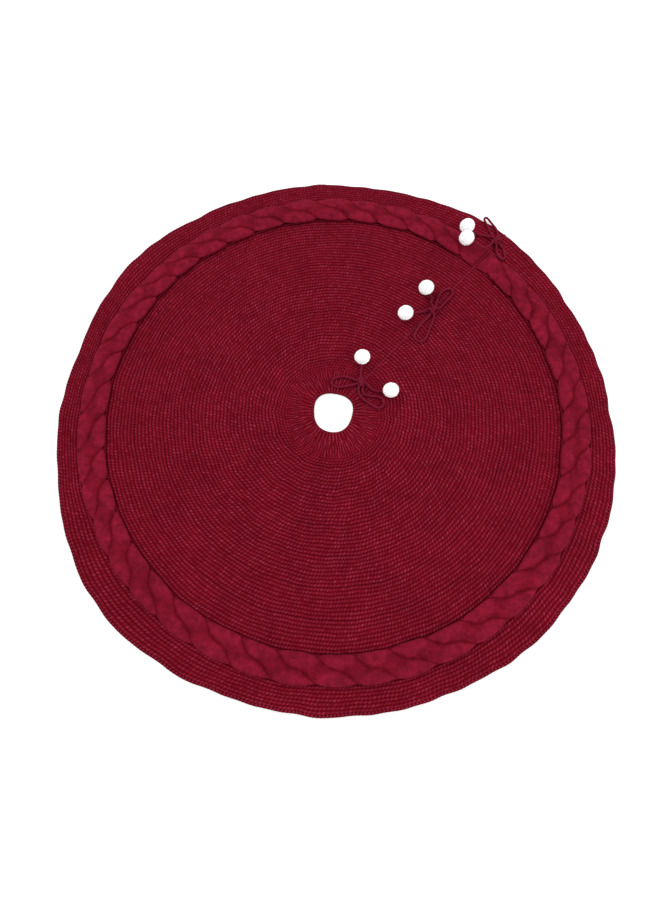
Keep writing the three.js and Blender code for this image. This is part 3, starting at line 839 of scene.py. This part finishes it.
for bow in BOWS:
    centre = knot_centre(bow)
    axis, across = heading(KNOT_BEARING[bow], 0), heading(KNOT_BEARING[bow] + 90, 0)
    turn = np.linspace(KNOT_START, KNOT_START + KNOT_TURNS, KNOT_POINTS)[:, None]
    wraps = (
        centre + axis * CORD_DIAMETER * WRAP_PITCH * (turn - KNOT_TURNS / 2 - KNOT_START)
        + across * KNOT_REACH[0] * np.cos(2 * math.pi * turn)
        + np.array([0, 0, KNOT_REACH[1]]) * np.sin(2 * math.pi * turn)
    )
    wrap_radius = CORD_DIAMETER / 2 * WRAP_THICKNESS
    wound = twisted_cord(f"{bow}_knot_wraps", wraps, burgundy_cord, "skirt", wrap_radius)
    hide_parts(f"{bow}_bow_knot")
    bpy.ops.object.select_all(action="DESELECT")
    bpy.ops.mesh.primitive_uv_sphere_add(segments=20, ring_count=12, radius=1, location=(0, 0, 0))
    heart = bpy.context.object
    heart.name = f"{bow}_knot_heart"
    turned = Matrix.Rotation(math.radians(KNOT_BEARING[bow]), 4, "Z")
    heart.data.transform(Matrix.Diagonal((*HEART_SIZE, 1)))
    heart.data.transform(Matrix.Translation(Vector(centre)) @ turned)
    bpy.ops.object.shade_smooth()
    heart.data.materials.append(burgundy_cord)
    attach(heart, "skirt")
    for letter in "ab":
        low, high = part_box(f"{bow}_tie_root_{letter}")
        x, y, _ = (low + high) / 2
        rise = [np.array([x, y, level]) for level in ROOT_LEVELS]
        rise[-1] = rise[-1] * (1 - ROOT_TURN) + centre * ROOT_TURN
        rise.append(centre - np.array([0, 0, ROOT_SUNK]))
        line = smooth_line(rise, CORD_STEP)[0]
        root = twisted_cord(f"{bow}_tie_root_{letter}_cord", line, burgundy_cord, "skirt")
        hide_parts(f"{bow}_tie_root_{letter}")


# Pompoms. Balls of white yarn cut and brushed out, about 36 mm across, each tied round the end
# of a cord, which is knotted in the middle so that it can't pull out.
POMPOM_TUFTS = 1100
TUFT_WIDTH = 0.0011
TUFT_SIDES = 4
TUFT_RINGS = ((0.72, 0.9), (0.93, 1.15), (1.0, 0.55))  # share of the reach, and width
TUFT_REACH = (0.93, 1.02)  # cut ends, as shares of the ball's radius
TUFT_LEAN = 0.1
TUFT_BEND = 0.4  # they start out straight and lean more towards the tip
YARN_GLOW = 0.16  # painted glow, standing in for light that scatters about inside loose white yarn
POMPOM_SQUASH = (0.98, 0.90, 0.97)  # no ball is quite round
HEART_SHARE = 0.9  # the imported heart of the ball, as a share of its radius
# The heart's painted shade, a little greyer than the tufts' tips.
HEART_SHADE = 0.35
HEART_ROUGHNESS = (0.96, 1.04)
TAIL_END_RADIUS = 0.0035
END_KNOT_YARN = 0.0011  # radius of the cord where it is drawn tight


def cut_yarn(name):
    """White acrylic yarn cut and fluffed: bright, matt and soft, with a faint painted glow, and a
    little greyer with painted shade deep inside between the tufts."""
    material, tree, shader = new_material(name)
    height = add_node(tree, "ShaderNodeAttribute", {"attribute_name": "painted_stitch_shade"})
    ramp = add_node(tree, "ShaderNodeValToRGB", Fac=height.outputs["Fac"])
    ramp.color_ramp.elements[0].color = linear("#f3f0ec")
    ramp.color_ramp.elements[1].color = linear("#ffffff")
    ramp.color_ramp.elements[1].position = 0.5
    fibres = noise(tree, 1500.0, 3.0, 0.7)
    bump = add_node(tree, "ShaderNodeBump", Strength=0.2, Distance=0.0003, Height=fibres)
    tree.links.new(ramp.outputs["Color"], shader.inputs["Base Color"])
    tree.links.new(bump.outputs["Normal"], shader.inputs["Normal"])
    shader.inputs["Roughness"].default_value = 0.95
    shader.inputs["Specular IOR Level"].default_value = 0.1
    shader.inputs["Sheen Weight"].default_value = 0.3
    shader.inputs["Emission Color"].default_value = (1, 1, 1, 1)
    shader.inputs["Emission Strength"].default_value = YARN_GLOW
    return material


def pompom_mesh(name, centre, body):
    """A ball of tufts that stand out from a packed heart, with their cut ends nearly level."""
    golden = math.pi * (3 - math.sqrt(5))
    i = np.arange(POMPOM_TUFTS)
    high = 1 - 2 * (i + 0.5) / POMPOM_TUFTS
    flat = np.sqrt(1 - high**2)
    out = np.stack([flat * np.cos(golden * i), flat * np.sin(golden * i), high], axis=1)
    lean = out + rng.normal(0, TUFT_LEAN, out.shape)
    lean /= np.linalg.norm(lean, axis=1)[:, None]
    reach = POMPOM_RADIUS * rng.uniform(*TUFT_REACH, POMPOM_TUFTS)
    side = np.cross(lean, rng.normal(0, 1, out.shape))
    side /= np.linalg.norm(side, axis=1)[:, None]
    other = np.cross(lean, side)
    points, faces, values = [], [], []
    foot = TUFT_RINGS[0][0]
    for k in range(POMPOM_TUFTS):
        base = len(points)
        for share, wide in TUFT_RINGS:
            for s in range(TUFT_SIDES):
                turn = 2 * math.pi * s / TUFT_SIDES
                off = side[k] * math.cos(turn) + other[k] * math.sin(turn)
                straight = (1 - share) * TUFT_BEND
                spine = out[k] * straight + lean[k] * (1 - straight)
                points.append(spine * reach[k] * share + off * TUFT_WIDTH * wide)
                # Painted shade: a tuft is greyer at its foot, deep inside the ball.
                values.append((share - foot) / (1 - foot))
        for r in range(len(TUFT_RINGS) - 1):
            for s in range(TUFT_SIDES):
                a, b = base + r * TUFT_SIDES + s, base + r * TUFT_SIDES + (s + 1) % TUFT_SIDES
                faces.append([a, b, b + TUFT_SIDES, a + TUFT_SIDES])
        faces.append([base + s for s in range(TUFT_SIDES)][::-1])
        faces.append([base + 2 * TUFT_SIDES + s for s in range(TUFT_SIDES)])
    bpy.ops.object.select_all(action="DESELECT")
    heart_radius = POMPOM_RADIUS * HEART_SHARE
    bpy.ops.mesh.primitive_ico_sphere_add(subdivisions=4, radius=heart_radius, location=(0, 0, 0))
    heart = bpy.context.object
    start = len(points)
    for v in heart.data.vertices:
        points.append(np.array(v.co) * rng.uniform(*HEART_ROUGHNESS))
        values.append(HEART_SHADE)
    faces += [[start + j for j in polygon.vertices] for polygon in heart.data.polygons]
    bpy.data.objects.remove(heart)
    points = np.array(points) * POMPOM_SQUASH + centre
    piece = add_piece(name, points, faces, white_yarn, body)
    give_values(piece, np.array(values), np.zeros(len(points)), np.zeros(len(points)))
    return piece


def end_knot(name, centre, body):
    """The overhand knot on the cord's end, a small trefoil drawn tight."""
    t = np.linspace(0, 2 * math.pi, 60)
    trefoil = (np.sin(t) + 2 * np.sin(2 * t), np.cos(t) - 2 * np.cos(2 * t), -np.sin(3 * t))
    line = centre + np.stack(trefoil, axis=1) / 3 * (TAIL_END_RADIUS - END_KNOT_YARN)
    return twisted_cord(name, line, burgundy_cord, body, END_KNOT_YARN)


white_yarn = cut_yarn("white_cut_acrylic_yarn")
for bow, cords in BOWS.items():
    for letter in "ab":
        bearing, entry, route = cords[f"tail_{letter}"]
        body = f"{bow}_tail_{letter}"
        low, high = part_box(f"{bow}_pompom_{letter}")
        centre = np.array((low + high) / 2)
        inwards = heading(entry, POMPOM_SLOPE)
        points = leave_knot(bow, bearing, TAIL_SLOPE) + place_points(bow, route)
        points += [centre - inwards * d for d in (POMPOM_RADIUS, POMPOM_RADIUS / 2, TAIL_END_RADIUS)]
        line, length = smooth_line(points, CORD_STEP)
        tail = twisted_cord(f"{bow}_tail_{letter}_cord", line, burgundy_cord, body)
        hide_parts(f"{bow}_bow_tail_{letter}")
        pompom = pompom_mesh(f"{bow}_pompom_{letter}_yarn", centre, body)
        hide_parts(f"{bow}_pompom_{letter}")
        knot = end_knot(f"{bow}_end_knot_{letter}", centre, body)
        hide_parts(f"{bow}_tail_end_{letter}")
